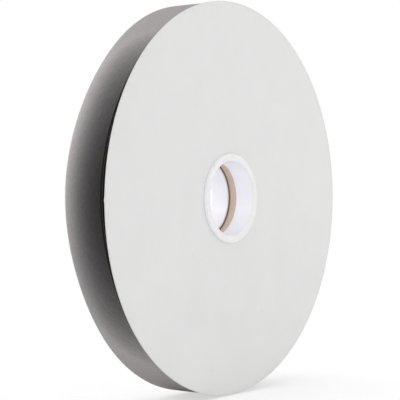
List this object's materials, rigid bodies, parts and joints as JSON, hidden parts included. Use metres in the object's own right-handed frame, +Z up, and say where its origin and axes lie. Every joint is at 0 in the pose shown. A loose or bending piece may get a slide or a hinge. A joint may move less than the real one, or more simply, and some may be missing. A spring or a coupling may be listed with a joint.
{
  "type": "hook and loop tape roll",
  "caption": "Roll of black hook and loop tape wound on a paper core between white card flanges, with moulded bushes lining the spindle bore and a free tail that peels away.",
  "frame": {"origin": "centre of the bore, halfway between the two flanges", "axes": "+Y along the roll's axis towards the rear flange, +Z up, +X to the right when looking at the front flange"},
  "size_m": [0.2248, 0.0302, 0.2248],
  "materials": {
    "tape": "knitted loop pile, black, soft sheen",
    "kraft_paper": "spiral wound kraft paper, bare",
    "white_card": "die-cut solid board, coated, satin white",
    "white_plastic": "moulded, semi-gloss white"
  },
  "bodies": {
    "roll": {"core_tube": "kraft_paper", "tape_pack": "tape", "tape_outer_turns": "tape", "front_flange": "white_card", "rear_flange": "white_card", "front_bush": "white_plastic", "rear_bush": "white_plastic"},
    "tail": {"tape_tail": "tape"}
  },
  "joints": [
    {"name": "tail_peel", "type": "hinge", "parent": "roll", "child": "tail", "pos_m": [0.10743, 0, 0.03131], "axis": [0, -1, 0], "range_deg": [0, 120]}
  ]
}
